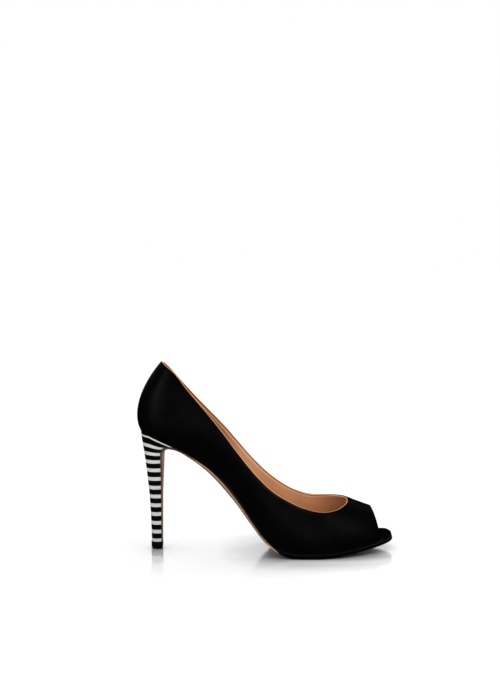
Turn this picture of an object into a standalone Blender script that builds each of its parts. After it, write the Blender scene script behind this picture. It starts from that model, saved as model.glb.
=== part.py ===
"""Peep-toe platform pump for the right foot, on a slim heel covered in black and white stripes.

Sizes are in millimetres and become metres when a mesh is made. The shoe is drawn on a straight last: x runs
from the back of the heel to the toe, y from the outer side of the foot (negative) to the inner side, and z up
from the floor. The last's swing then bends every piece to the right foot, and the finished shoe is centred
on the floor. The feather line is the edge where the upper meets the sole.
"""

import math
from collections import namedtuple

import bmesh
import bpy
import numpy as np
from mathutils import Vector
from mathutils.geometry import interpolate_bezier

MM = 0.001
FIT_GAP = 0.3
WELD = 0.002
SHARP_ANGLE = math.radians(35.0)

# Sole stack
OUTSOLE_FOREPART = 3.9
OUTSOLE_TOE = 3.0
PLATFORM_HEIGHT = 3.4
PLATFORM_START = 104.0
PLATFORM_FULL = 138.0
PLATFORM_BACK_EDGE = 112.0
PLATFORM_PLACES = 44
INSOLE_THICKNESS = 2.5
INSOLE_FRONT = 208.0
INSOLE_FRONT_ROUND = 26.0
INSOLE_LIFT_EASE = 10.0
INSOLE_PLACES = 44
INSOLE_FRONT_PLACES = 10
WALL = 1.6

# Side profile of the feather line
TREAD_BACK = 133.0
TREAD_FRONT = 160.0
SOLE_FLAT_END = 149.0
TREAD_HEIGHT = OUTSOLE_FOREPART + FIT_GAP
TOE_SPRING_SLOPE = 0.13
TOE_SPRING_EASE = 12.0
PATH_END = 224.0
PATH_SAMPLES = 900
ProfilePoint = namedtuple("ProfilePoint", "x height")
PROFILE = (
    ProfilePoint(2.3, 105.7),
    ProfilePoint(9.0, 104.3),
    ProfilePoint(18.0, 101.7),
    ProfilePoint(32.0, 96.3),
    ProfilePoint(46.0, 87.6),
    ProfilePoint(60.0, 78.2),
    ProfilePoint(74.0, 64.9),
    ProfilePoint(88.0, 47.0),
    ProfilePoint(102.0, 26.1),
    ProfilePoint(112.0, 13.6),
    ProfilePoint(122.0, 6.6),
    ProfilePoint(TREAD_BACK, TREAD_HEIGHT),
)

# Sections of the last, from the back of the heel to the peep toe. The feather columns give the half widths at
# the feather line, and the top columns the line that the last's wall is drawn up to, above the topline.
# Swell and rise shape the foot of the wall, lean and drop its top.
Section = namedtuple(
    "Section",
    "feather_x outer inner top_x top_outer top_inner high_outer high_inner swell rise lean drop",
)
LAST = (
    Section(2.3, 0.0, 0.0, 23.0, 0.0, 0.0, 168.9, 168.9, 9.3, 16.2, 19.0, 19.5),
    Section(8.5, 16.4, 16.4, 27.5, 11.0, 11.5, 163.9, 162.9, 8.0, 16.6, 14.0, 19.0),
    Section(22.0, 24.0, 24.0, 38.5, 16.5, 18.0, 152.4, 149.9, 6.5, 17.0, 7.0, 18.0),
    Section(38.0, 24.0, 23.3, 52.0, 19.5, 22.0, 136.4, 133.4, 6.0, 14.0, 5.0, 15.0),
    Section(56.0, 20.8, 19.4, 68.0, 21.5, 24.5, 118.9, 116.9, 6.5, 12.0, 4.0, 13.0),
    Section(74.0, 20.2, 18.0, 85.0, 23.3, 25.5, 96.4, 97.9, 7.0, 10.5, 3.5, 11.0),
    Section(92.0, 23.6, 20.4, 102.0, 24.6, 25.5, 76.9, 79.9, 7.0, 11.0, 4.5, 11.0),
    Section(110.0, 29.4, 25.2, 119.0, 23.0, 22.0, 67.9, 69.9, 6.5, 13.0, 8.0, 11.0),
    Section(128.0, 34.2, 31.0, 135.0, 14.0, 12.0, 65.4, 66.9, 5.5, 16.0, 14.0, 6.0),
    Section(148.0, 37.2, 35.2, 152.0, 0.0, 0.0, 61.9, 61.9, 5.0, 19.0, 21.0, 1.0),
    Section(168.0, 36.0, 33.9, 168.0, 0.0, 0.0, 51.5, 51.5, 4.5, 19.0, 22.0, 0.0),
    Section(183.3, 31.8, 30.2, 183.3, 0.0, 0.0, 45.1, 45.1, 4.2, 17.0, 20.0, 0.0),
    Section(197.0, 26.2, 25.2, 194.0, 0.0, 0.0, 41.0, 41.0, 4.0, 14.0, 16.5, 0.0),
    Section(208.9, 19.7, 19.2, 204.0, 0.0, 0.0, 37.3, 37.3, 2.2, 12.0, 12.5, 0.0),
)
HEEL_ROUND_STATION = 2
THROAT_STATION = 11
U_BEND_STATION = 10
PEEP_STATION = len(LAST) - 1

# The sole's outline runs on past the peep toe.
ToePoint = namedtuple("ToePoint", "x outer inner")
TOE = (ToePoint(217.5, 12.4, 13.4), ToePoint(221.2, 7.0, 8.8), ToePoint(222.8, 0.0, 0.0))
OUTLINE_SAMPLES = 1500

# Topline, as seen from the side
TopPoint = namedtuple("TopPoint", "x outer inner")
TOPLINE = (
    TopPoint(19.7, 166.8, 166.8),
    TopPoint(32.0, 158.6, 151.0),
    TopPoint(46.0, 142.2, 134.3),
    TopPoint(60.0, 126.2, 119.2),
    TopPoint(74.0, 108.7, 104.7),
    TopPoint(88.0, 89.3, 88.9),
    TopPoint(102.0, 71.4, 73.7),
    TopPoint(115.0, 58.3, 62.1),
    TopPoint(128.0, 49.4, 53.2),
    TopPoint(142.0, 42.4, 46.2),
    TopPoint(156.0, 38.9, 42.5),
    TopPoint(162.0, 38.5, 42.8),
    TopPoint(168.0, 38.9, 43.4),
    TopPoint(173.0, 39.9, 44.0),
    TopPoint(177.0, 41.3, 44.4),
    TopPoint(182.0, 43.5, 44.8),
    TopPoint(183.3, 45.1, 45.1),
)
WALL_ROWS = 12
COLUMN_SAMPLES = 201
COLUMNS_PER_SECTION = 3
U_BEND_COLUMNS = 10
VAMP_COLUMNS_PER_SECTION = 4
STATION_STEP = 0.02

# Heel. The breast is its front face, which bends forward at the top into a thin lip under the seat, and the
# sole's flap runs down it. Breast_run is measured up the breast from its foot. Widest is where the heel is
# broadest at that level, as a share of the way from its back to the breast. A larger sag keeps the level's
# edge high for longer on that way.
TOP_PIECE_HEIGHT = 6.0
HEEL_BOTTOM = TOP_PIECE_HEIGHT + FIT_GAP
BREAST_X = 19.6
BEND_HEIGHT = 83.6
BEND_RADIUS = 10.0
BEND_TURN = math.radians(96.0)
LIP_FRONT = 38.5
LIP_JOIN = 44.0
LIP_EASE = 6.0
BREAST_SAMPLES = 120
BEND_SAMPLES = 40
HeelLevel = namedtuple("HeelLevel", "rear_height rear_x breast_run half_width breast_half widest sag")
HEEL = (
    HeelLevel(HEEL_BOTTOM, 10.9, 0.0, 4.5, 3.4, 0.50, 1.0),
    HeelLevel(28.9, 10.2, 28.9 - HEEL_BOTTOM, 4.8, 3.7, 0.50, 1.0),
    HeelLevel(48.9, 9.0, 48.9 - HEEL_BOTTOM, 5.4, 4.3, 0.50, 1.0),
    HeelLevel(65.9, 7.3, 65.9 - HEEL_BOTTOM, 6.7, 5.4, 0.52, 1.0),
    HeelLevel(79.6, 5.7, 79.6 - HEEL_BOTTOM, 9.8, 7.8, 0.56, 1.0),
    HeelLevel(88.0, 4.7, 82.5, 14.0, 10.6, 0.60, 1.3),
    HeelLevel(93.4, 3.8, 88.5, 17.8, 14.2, 0.62, 1.6),
    HeelLevel(98.0, 3.1, 94.0, 21.0, 18.6, 0.64, 2.0),
    HeelLevel(102.4, 2.6, 98.6, 23.6, 22.0, 0.66, 2.6),
)
SEAT_HALF_WIDTH = 24.6
SEAT_WIDEST = 0.66
RINGS_PER_LEVEL = 3
REAR_POINTS = 9
SIDE_POINTS = 4

# Block that the heel stands on
TOP_PIECE_BACK = 10.5
TOP_PIECE_FRONT = 20.4
TOP_PIECE_HALF_WIDTH = 4.8
TOP_PIECE_WIDEST = 0.5
TOP_PIECE_EDGE = 0.8

# Thickness of the outsole, from the foot of its flap to the toe
FlapPoint = namedtuple("FlapPoint", "breast_run thickness")
FLAP = (FlapPoint(0.0, 0.6), FlapPoint(40.0, 0.9), FlapPoint(75.0, 1.8), FlapPoint(90.0, 1.8))
SolePoint = namedtuple("SolePoint", "x thickness")
SOLE = (
    SolePoint(LIP_FRONT, 1.0),
    SolePoint(48.0, 1.3),
    SolePoint(60.0, 2.3),
    SolePoint(76.0, 2.8),
    SolePoint(90.0, 2.0),
    SolePoint(104.0, 1.5),
    SolePoint(116.0, 1.7),
    SolePoint(TREAD_BACK, OUTSOLE_FOREPART),
    SolePoint(SOLE_FLAT_END, OUTSOLE_FOREPART),
    SolePoint(176.0, OUTSOLE_TOE),
    SolePoint(PATH_END, OUTSOLE_TOE),
)
SOLE_MARGIN = 0.4
SOLE_EDGE_ROUND = 0.2
SOLE_PLACES = 56

# Clearances of what lies inside the upper, and the platform's rounded edge
INSOLE_INSET = 2.3
INSOLE_EDGE = 0.6
PLATFORM_INSET = 2.1
PLATFORM_NOSE_INSET = 0.0
PLATFORM_NOSE_START = 210.0
PLATFORM_NOSE_FULL = 217.0
PLATFORM_EDGE = 1.2
PLATFORM_EDGE_STEPS = 3

# Swing of the last: the heel points outwards and the forepart inwards
HEEL_Y = 2.0
HEEL_TURN = math.radians(-3.5)
TOE_TURN = math.radians(4.0)
SWING_FROM = 45.0
SWING_TO = 150.0

OUTER = -1
INNER = 1


def ramp(value, start, end):
    """0 before start, 1 after end, with an eased rise between."""
    t = np.clip((np.asarray(value, float) - start) / (end - start), 0.0, 1.0)
    return t * t * (3.0 - 2.0 * t)


def curve_through(knots, rows, tangents):
    """The cubic curve through the rows, one for each knot, as a function of the place between knots."""
    gaps = np.diff(knots)[:, None]

    def at(place):
        place = np.clip(np.asarray(place, float), knots[0], knots[-1])
        i = np.clip(np.searchsorted(knots, place, side="right") - 1, 0, len(gaps) - 1)
        gap = gaps[i]
        t = (place - knots[i])[..., None] / gap
        near_part = (1.0 + 2.0 * t) * (1.0 - t) ** 2 * rows[i] + t * (1.0 - t) ** 2 * gap * tangents[i]
        far_part = t * t * (3.0 - 2.0 * t) * rows[i + 1] + t * t * (t - 1.0) * gap * tangents[i + 1]
        return near_part + far_part

    return at


def steady(knots, rows):
    """A smooth curve through the rows, one for each knot, that never swings past them."""
    knots = np.asarray(knots, float)
    rows = np.asarray(rows, float).reshape(len(knots), -1)
    gaps = np.diff(knots)[:, None]
    slopes = np.diff(rows, axis=0) / gaps
    product = slopes[:-1] * slopes[1:]
    near = 2.0 * gaps[1:] + gaps[:-1]
    far = gaps[1:] + 2.0 * gaps[:-1]
    blend = np.where(product > 0.0, near * slopes[1:] + far * slopes[:-1], 1.0)
    inner = np.where(product > 0.0, (near + far) * product / blend, 0.0)
    return curve_through(knots, rows, np.vstack([slopes[:1], inner, slopes[-1:]]))


def closed_curve(rows):
    """A curve of even bend through rows that run round a loop, with the first row at station 0."""
    rows = np.asarray(rows, float)
    count = len(rows)
    spread = 4.0 * np.eye(count) + np.roll(np.eye(count), 1, axis=0) + np.roll(np.eye(count), -1, axis=0)
    chords = np.roll(rows, -1, axis=0) - np.roll(rows, 1, axis=0)
    tangents = np.linalg.solve(spread, 3.0 * chords)
    rows, tangents = (np.vstack([values, values[:1]]) for values in (rows, tangents))
    around = curve_through(np.arange(count + 1.0), rows, tangents)
    return lambda station: around(np.mod(station, count))


heel_and_waist = steady([p.x for p in PROFILE], [p.height for p in PROFILE])


def profile(x):
    """Height of the feather line: heel seat, arch, flat tread and toe spring."""
    x = np.asarray(x, float)
    ahead = np.maximum(x - TREAD_FRONT, 0.0)
    spring = TOE_SPRING_SLOPE * (np.hypot(ahead, TOE_SPRING_EASE) - TOE_SPRING_EASE)
    return np.where(x < TREAD_BACK, heel_and_waist(x)[..., 0], TREAD_HEIGHT + spring)


def followed(along, points):
    """A path through points, each at its own place along it: gives position and upward normal."""
    tangents = np.gradient(points, along, axis=0)
    tangents /= np.linalg.norm(tangents, axis=1, keepdims=True)
    normals = np.column_stack([-tangents[:, 1], tangents[:, 0]])

    def at(place):
        columns = np.column_stack([points, normals])
        return [np.interp(place, along, column) for column in columns.T]

    return at


def feather_path():
    """The feather line as seen from the side, placed by x."""
    x = np.linspace(PROFILE[0].x, PATH_END, PATH_SAMPLES)
    return followed(x, np.column_stack([x, profile(x)]))


def breast_points():
    """The heel's breast seen from the side: up from its foot, round the bend and along the lip."""
    heights = np.linspace(HEEL_BOTTOM, BEND_HEIGHT, BREAST_SAMPLES)
    straight = np.column_stack([np.full(BREAST_SAMPLES, BREAST_X), heights])
    angles = np.linspace(math.pi, math.pi - BEND_TURN, BEND_SAMPLES)[1:]
    centre = np.array([BREAST_X + BEND_RADIUS, BEND_HEIGHT])
    bend = centre + BEND_RADIUS * np.column_stack([np.cos(angles), np.sin(angles)])
    leaving = np.array([math.sin(angles[-1]), -math.cos(angles[-1])])
    join = np.array([LIP_JOIN, float(profile(LIP_JOIN))])
    slope = float(profile(LIP_JOIN + 1.0) - profile(LIP_JOIN - 1.0)) / 2.0
    arriving = np.array([1.0, slope]) / math.hypot(1.0, slope)
    knots = (bend[-1], bend[-1] + LIP_EASE * leaving, join - LIP_EASE * arriving, join)
    lip = interpolate_bezier(*(Vector(knot) for knot in knots), BEND_SAMPLES)
    return np.vstack([straight, bend, np.array([tuple(point[:2]) for point in lip])[1:]])


breast = breast_points()
breast_runs = np.concatenate([[0.0], np.cumsum(np.linalg.norm(np.diff(breast, axis=0), axis=1))])
BREAST_LENGTH = float(breast_runs[-1])


def along_sole(x):
    """Place on the sole's path of a point on the lip or in front of it."""
    x = np.asarray(x, float)
    on_lip = np.interp(x, breast[BREAST_SAMPLES:, 0], breast_runs[BREAST_SAMPLES:])
    return np.where(x < LIP_JOIN, on_lip, x - LIP_JOIN + BREAST_LENGTH)


lip_front_run = float(along_sole(LIP_FRONT))


def sole_path():
    """The outsole's path: up the heel's breast, then along the feather line to the toe."""
    x = np.linspace(LIP_JOIN, PATH_END, PATH_SAMPLES)[1:]
    along = np.concatenate([breast_runs, along_sole(x)])
    return followed(along, np.vstack([breast, np.column_stack([x, profile(x)])]))


heel_places = np.linspace(0.0, len(HEEL) - 1.0, (len(HEEL) - 1) * RINGS_PER_LEVEL + 1)
heel_levels = steady(np.arange(len(HEEL)), HEEL)(heel_places)


def outline():
    """The feather line in plan, by station: outer side negative, inner side positive, round both ends."""
    plan = [(s.feather_x, s.outer, s.inner) for s in LAST] + [tuple(p) for p in TOE]
    inner = [(x, half) for x, _, half in plan[:-1]]
    outer = [(x, -half) for x, half, _ in plan[:0:-1]]
    return closed_curve(inner + outer), len(plan) - 1


outline_at, TIP_STATION = outline()
outline_stations = np.linspace(0.0, TIP_STATION, OUTLINE_SAMPLES)


def half_width(x, side):
    """Distance from the last's middle to the feather line on one side."""
    points = outline_at(side * outline_stations)
    return np.interp(x, points[:, 0], np.abs(points[:, 1]))


def places(start_x, end_x, count):
    """Places along the sole from start to end, closer where its outline turns round the heel or toe."""
    x = outline_at(outline_stations)[:, 0]
    first, last = np.interp((start_x, end_x), x, outline_stations)
    return outline_at(np.linspace(first, last, count))[:, 0]


def rail(along, outer, inner, inset):
    """An edge (along, across): forward on the outer side, round the front and back on the inner side."""
    across = np.concatenate([-outer, inner[-2::-1]])
    along = np.concatenate([along, along[-2::-1]])
    inset = np.broadcast_to(inset, outer.shape)
    inset = np.concatenate([inset, inset[-2::-1]])
    d_along, d_across = np.gradient(along), np.gradient(across)
    starts_wide = outer[0] + inner[0] > FIT_GAP
    if starts_wide:
        d_along[[0, -1]] = 1.0, -1.0
        d_across[[0, -1]] = 0.0
    else:
        d_along[[0, -1]] = 0.0
        d_across[[0, -1]] = -1.0
    length = np.hypot(d_along, d_across)
    return np.column_stack([along - inset * d_across / length, across + inset * d_along / length])


def layer(path, edge, lift):
    """The points of an edge, lifted off a path."""
    x, z, normal_x, normal_z = path(edge[:, 0])
    return np.column_stack([x + normal_x * lift, edge[:, 1], z + normal_z * lift])


def swing(points):
    """Bends the straight last to the right foot."""
    x, y, z = points.T
    t = np.clip((x - SWING_FROM) / (SWING_TO - SWING_FROM), 0.0, 1.0)
    turn = TOE_TURN - HEEL_TURN
    heading = HEEL_TURN + turn * ramp(x, SWING_FROM, SWING_TO)
    eased = (SWING_TO - SWING_FROM) * (t**3 - t**4 / 2.0) + np.maximum(x - SWING_TO, 0.0)
    axis_y = HEEL_Y + HEEL_TURN * x + turn * eased
    return np.column_stack([x - y * np.sin(heading), axis_y + y * np.cos(heading), z])


def add_object(name, bm, material):
    bmesh.ops.remove_doubles(bm, verts=bm.verts[:], dist=WELD * MM)
    mesh = bpy.data.meshes.new(name)
    bm.to_mesh(mesh)
    bm.free()
    mesh.shade_smooth()
    mesh.set_sharp_from_angle(angle=SHARP_ANGLE)
    mesh.materials.append(material)
    piece = bpy.data.objects.new(name, mesh)
    piece.parent = shoe
    parts.objects.link(piece)
    return piece


def loft(name, levels, material):
    """A closed solid through rings of points, lowest first. A ring starts and ends at the back, and faces
    between its opposite points close the bottom and the top."""
    bm = bmesh.new()
    rings = [[bm.verts.new(Vector(p) * MM) for p in swing(level)] for level in levels]
    count = len(rings[0])
    for low, high in zip(rings, rings[1:]):
        for i in range(count):
            j = (i + 1) % count
            bm.faces.new((low[i], low[j], high[j], high[i]))
    middle = count // 2
    for ring, facing_up in ((rings[0], False), (rings[-1], True)):
        for i in range(middle):
            corners = [ring[i], ring[i + 1], ring[-2 - i], ring[-1 - i]]
            if i + 1 == middle:
                corners.pop(2)
            bm.faces.new(corners if facing_up else corners[::-1])
    return add_object(name, bm, material)


def make_material(name, colour, roughness):
    material = bpy.data.materials.new(name)
    material.use_nodes = True
    shader = material.node_tree.nodes["Principled BSDF"]
    shader.inputs["Base Color"].default_value = (*colour, 1.0)
    shader.inputs["Roughness"].default_value = roughness
    shader.inputs["Metallic"].default_value = 0.0
    return material


def last_rows():
    """Tops and wall shapes of the last's sections, by station: outer side negative, inner side positive."""
    outer = [(s.top_x, -s.top_outer, s.high_outer, s.swell, s.rise, s.lean, s.drop) for s in LAST[:0:-1]]
    inner = [(s.top_x, s.top_inner, s.high_inner, s.swell, s.rise, s.lean, s.drop) for s in LAST]
    return outer + inner


def away(curve, station):
    """Unit direction in plan that points out of the shoe, across the curve."""
    d_x, d_y = curve(station + STATION_STEP) - curve(station - STATION_STEP)
    return np.array([-d_y, d_x, 0.0]) / math.hypot(d_x, d_y)


def upper_columns():
    """Points of the upper's outer surface in columns from the feather line up, from outer to inner toe."""
    last = steady(np.arange(-PEEP_STATION, PEEP_STATION + 1), last_rows())
    topline = steady([p.x for p in TOPLINE], [(p.outer, p.inner) for p in TOPLINE])
    quarter = np.linspace(0.0, U_BEND_STATION, U_BEND_STATION * COLUMNS_PER_SECTION + 1)
    bend = THROAT_STATION - (1.0 - np.sin(np.linspace(0.0, math.pi / 2.0, U_BEND_COLUMNS + 1)[1:]))
    vamp_columns = (PEEP_STATION - THROAT_STATION) * VAMP_COLUMNS_PER_SECTION
    vamp = np.linspace(THROAT_STATION, PEEP_STATION, vamp_columns + 1)[1:]
    half = np.concatenate([quarter, bend, vamp])
    columns = []
    for station in np.concatenate([-half[:0:-1], half]):
        top_x, top_across, high, swell, rise, lean, drop = last(station)
        foot_x, foot_y = outline_at(station)
        foot = np.array([foot_x, foot_y, float(profile(foot_x))])
        top = np.array([top_x, top_across, high])
        out_low = away(outline_at, station)
        sideways = ramp(abs(station), HEEL_ROUND_STATION, HEEL_ROUND_STATION + 2)
        out_high = (1.0 - sideways) * out_low + sideways * np.array([0.0, math.copysign(1.0, station), 0.0])
        low_handle = foot + swell * out_low + (0.0, 0.0, rise)
        high_handle = top + lean * out_high - (0.0, 0.0, drop)
        t = np.linspace(0.0, 1.0, COLUMN_SAMPLES)[:, None]
        curve = (1 - t) ** 3 * foot + 3 * (1 - t) ** 2 * t * low_handle
        curve = curve + 3 * (1 - t) * t**2 * high_handle + t**3 * top
        end = 1.0
        if abs(station) < THROAT_STATION:
            over = curve[:, 2] - topline(curve[:, 0])[:, 0 if station < 0 else 1]
            above = int(np.argmax(over > 0.0))
            end = float(np.interp(0.0, over[above - 1 : above + 1], t[above - 1 : above + 1, 0]))
        rows = np.linspace(0.0, end, WALL_ROWS + 1)
        columns.append(np.column_stack([np.interp(rows, t[:, 0], axis) for axis in curve.T]))
    return columns


def make_upper(material):
    """Hollow shell of the upper: the wall is thickened inwards and left open at collar, peep toe and sole."""
    bm = bmesh.new()
    grid = [[bm.verts.new(Vector(p) * MM) for p in swing(column)] for column in upper_columns()]
    for left, right in zip(grid, grid[1:]):
        for j in range(WALL_ROWS):
            bm.faces.new((left[j], left[j + 1], right[j + 1], right[j]))
    upper = add_object("upper", bm, material)
    wall = upper.modifiers.new("wall", "SOLIDIFY")
    wall.thickness = WALL * MM
    wall.offset = -1.0
    wall.use_even_offset = True
    return upper


def platform_top(x):
    """Thickness of the platform, which grows from nothing at its back."""
    return PLATFORM_HEIGHT * ramp(x, PLATFORM_START, PLATFORM_FULL)


def make_insole(material):
    """Foot bed from the heel seat to just behind the peep toe, rising over the back of the platform."""
    reach = INSOLE_FRONT + INSOLE_INSET
    x = places(PROFILE[0].x, reach - INSOLE_FRONT_ROUND, INSOLE_PLACES)
    turn = np.linspace(0.0, math.pi / 2.0, INSOLE_FRONT_PLACES + 1)[1:]
    x = np.concatenate([x, x[-1] + INSOLE_FRONT_ROUND * np.sin(turn)])
    ahead = np.clip((x - reach + INSOLE_FRONT_ROUND) / INSOLE_FRONT_ROUND, 0.0, 1.0)
    round_off = np.sqrt(np.maximum(1.0 - ahead**4, 0.0))
    outer, inner = (half_width(x, side) * round_off for side in (OUTER, INNER))
    path = feather_path()

    def lift(edge, rise):
        gap = FIT_GAP * ramp(edge[:, 0], PLATFORM_START - INSOLE_LIFT_EASE, PLATFORM_START)
        return layer(path, edge, platform_top(edge[:, 0]) + gap + rise)

    edge = rail(x, outer, inner, INSOLE_INSET)
    crown = rail(x, outer, inner, INSOLE_INSET + INSOLE_EDGE)
    levels = (lift(edge, 0.0), lift(edge, INSOLE_THICKNESS - INSOLE_EDGE), lift(crown, INSOLE_THICKNESS))
    return loft("insole", levels, material)


def make_platform(material):
    """Lift under the forepart, a wedge at the back and a rounded nose that stands out of the peep toe."""
    x = places(PLATFORM_BACK_EDGE, TOE[-1].x, PLATFORM_PLACES)
    outer, inner = (half_width(x, side) for side in (OUTER, INNER))
    nose = ramp(x, PLATFORM_NOSE_START, PLATFORM_NOSE_FULL)
    inset = PLATFORM_INSET + (PLATFORM_NOSE_INSET - PLATFORM_INSET) * nose
    path = feather_path()
    levels = [layer(path, rail(x, outer, inner, inset), 0.0)]
    for angle in np.linspace(0.0, math.pi / 2.0, PLATFORM_EDGE_STEPS + 1):
        edge_round = np.minimum(PLATFORM_EDGE, platform_top(x) / 2.0)
        edge = rail(x, outer, inner, inset + edge_round * (1.0 - math.cos(angle)))
        top = platform_top(edge[:, 0])
        drop = np.minimum(PLATFORM_EDGE, top / 2.0) * (1.0 - math.sin(angle))
        levels.append(layer(path, edge, top - drop))
    return loft("platform", levels, material)


def make_outsole(material):
    """Sole from the toe along the arch, turned down the heel's breast as a thin flap."""
    flap = [HeelLevel(*level) for level in heel_levels]
    x = places(LIP_FRONT, TOE[-1].x, SOLE_PLACES)
    along = np.concatenate([[level.breast_run for level in flap], along_sole(x)])
    halves = [level.breast_half for level in flap]
    outer, inner = (np.concatenate([halves, half_width(x, side)]) for side in (OUTER, INNER))
    runs = [p.breast_run for p in FLAP] + [lip_front_run] + [float(along_sole(p.x)) for p in SOLE[1:]]
    thickness = steady(runs, [p.thickness for p in FLAP] + [p.thickness for p in SOLE])
    margin = -SOLE_MARGIN * ramp(along, lip_front_run, BREAST_LENGTH)
    path = sole_path()
    top = rail(along, outer, inner, margin)
    thick = thickness(top[:, 0])[:, 0]
    low = rail(along, outer, inner, margin + SOLE_EDGE_ROUND * thickness(along)[:, 0])
    levels = (
        layer(path, low, -FIT_GAP - thickness(low[:, 0])[:, 0]),
        layer(path, top, -FIT_GAP - thick * (1.0 - SOLE_EDGE_ROUND)),
        layer(path, top, -FIT_GAP),
    )
    return loft("outsole", levels, material)


def heel_side(rear, front, half, front_half, widest):
    """One side of the heel at a level, rounded behind: share of the way to the breast, x and half width."""
    turn = np.linspace(0.0, math.pi / 2.0, REAR_POINTS)
    behind = np.column_stack([widest * (1.0 - np.cos(turn)), half * np.sin(turn)])
    t = np.linspace(0.0, 1.0, SIDE_POINTS + 1)[1:]
    side = np.column_stack([widest + (1.0 - widest) * t, half + (front_half - half) * t**2])
    share, across = np.vstack([behind, side]).T
    return share, rear + (front - rear) * share, across


def both_sides(x, across, z):
    """A closed ring from the points of one side, straight across the breast."""
    outer = np.column_stack([x, -across, z])
    inner = np.column_stack([x, across, z])
    breast_middle = [(x[-1], 0.0, z[-1])]
    return np.vstack([outer, breast_middle, inner[::-1]])


def make_heel(material):
    """Slim heel that flares out to the whole seat at the top, with a thin lip under the waist."""
    rings = []
    for rear_height, rear_x, run, half, breast_half, widest, sag in heel_levels:
        front_x, front_z = (np.interp(run, breast_runs, column) for column in breast.T)
        share, x, across = heel_side(rear_x, front_x, half, breast_half, widest)
        rings.append(both_sides(x, across, rear_height + (front_z - rear_height) * share**sag))
    lip_half = float(half_width(LIP_FRONT, OUTER) + half_width(LIP_FRONT, INNER)) / 2.0
    _, x, across = heel_side(PROFILE[0].x, LIP_FRONT, SEAT_HALF_WIDTH, lip_half, SEAT_WIDEST)
    slope = np.gradient(profile(x), x)
    rings.append(both_sides(x, across, profile(x) - FIT_GAP * np.hypot(1.0, slope)))
    return loft("heel", rings, material)


def make_top_piece(material):
    """Block under the heel, with a trimmed edge where it meets the floor."""
    levels = []
    for trim, z in ((TOP_PIECE_EDGE, 0.0), (0.0, TOP_PIECE_EDGE), (0.0, TOP_PIECE_HEIGHT)):
        half = TOP_PIECE_HALF_WIDTH - trim
        back, front = TOP_PIECE_BACK + trim, TOP_PIECE_FRONT - trim
        _, x, across = heel_side(back, front, half, half - TOP_PIECE_EDGE, TOP_PIECE_WIDEST)
        levels.append(both_sides(x, across, np.full(x.shape, z)))
    return loft("top_piece", levels, material)


for leftover in list(bpy.data.objects):
    bpy.data.objects.remove(leftover, do_unlink=True)

parts = bpy.data.collections.new("platform_pump")
bpy.context.scene.collection.children.link(parts)
shoe = bpy.data.objects.new("shoe", None)
parts.objects.link(shoe)

pieces = (
    make_upper(make_material("black_leather", (0.012, 0.011, 0.012), 0.42)),
    make_insole(make_material("tan_sock_leather", (0.42, 0.19, 0.09), 0.55)),
    make_platform(make_material("black_platform_leather", (0.012, 0.011, 0.012), 0.42)),
    make_outsole(make_material("tan_sole_leather", (0.46, 0.24, 0.12), 0.5)),
    make_heel(make_material("striped_heel_fabric", (0.3, 0.3, 0.3), 0.6)),
    make_top_piece(make_material("black_top_piece", (0.015, 0.015, 0.016), 0.5)),
)
corners = np.array([vertex.co for piece in pieces for vertex in piece.data.vertices])
low, high = corners.min(axis=0), corners.max(axis=0)
shoe.location = (-(low[0] + high[0]) / 2.0, -(low[1] + high[1]) / 2.0, 0.0)
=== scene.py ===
import math
from collections import namedtuple

import bpy
import numpy as np
from mathutils import Matrix, Vector
from mathutils.bvhtree import BVHTree
from mathutils.kdtree import KDTree


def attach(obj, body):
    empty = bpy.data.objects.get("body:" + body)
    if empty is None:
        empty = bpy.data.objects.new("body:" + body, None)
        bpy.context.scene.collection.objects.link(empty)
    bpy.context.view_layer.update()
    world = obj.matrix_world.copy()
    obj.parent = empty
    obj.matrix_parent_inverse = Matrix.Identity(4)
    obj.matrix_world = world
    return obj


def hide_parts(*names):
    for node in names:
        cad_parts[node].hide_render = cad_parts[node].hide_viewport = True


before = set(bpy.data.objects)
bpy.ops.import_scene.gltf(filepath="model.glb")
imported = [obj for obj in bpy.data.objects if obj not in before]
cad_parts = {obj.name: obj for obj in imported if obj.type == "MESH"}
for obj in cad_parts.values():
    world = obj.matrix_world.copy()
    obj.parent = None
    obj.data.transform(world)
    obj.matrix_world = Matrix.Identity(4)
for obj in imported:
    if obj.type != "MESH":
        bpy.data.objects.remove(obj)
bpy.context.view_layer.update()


# Upper leather: one smooth black skin that makes quarters, counter and vamp. It is cut flat, folded back
# along the collar and the peep toe, pulled damp over the last and cemented under the feather edge.
MM = 0.001
WELD_REACH = 0.002 * MM
QUAD_TURN = math.radians(60)
QUAD_SHAPE = math.radians(180)
RIM_TURN = math.radians(45)
HOLD_REACH = 0.6 * MM
HOLD_ROUNDS = 3
EVEN_SPAN = 6
LEATHER_THICK = 0.8 * MM
LEATHER_EDGE_ROUND = 0.3 * MM
FOLD_WIDTH = 6.0 * MM
FOLD_EASE = 1.6 * MM
FOLD_STEP = 0.14 * MM


def pick(piece):
    """Makes a piece the only selected object and the active one."""
    bpy.ops.object.select_all(action="DESELECT")
    piece.select_set(True)
    bpy.context.view_layer.objects.active = piece


def welded_copy(node, name):
    """A copy of a CAD node as its own piece: welded, in four-sided faces, with no old shading left on it."""
    piece = bpy.data.objects.new(name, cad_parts[node].data.copy())
    bpy.context.scene.collection.objects.link(piece)
    piece.data.name = name
    piece.data.materials.clear()
    pick(piece)
    bpy.ops.mesh.customdata_custom_splitnormals_clear()
    bpy.ops.object.mode_set(mode="EDIT")
    bpy.ops.mesh.select_mode(type="EDGE")
    bpy.ops.mesh.select_all(action="SELECT")
    bpy.ops.mesh.mark_sharp(clear=True)
    bpy.ops.mesh.remove_doubles(threshold=WELD_REACH)
    bpy.ops.mesh.tris_convert_to_quads(
        face_threshold=QUAD_TURN, shape_threshold=QUAD_SHAPE, topology_influence=1.0
    )
    bpy.ops.mesh.faces_shade_smooth()
    bpy.ops.object.mode_set(mode="OBJECT")
    return piece


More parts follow.
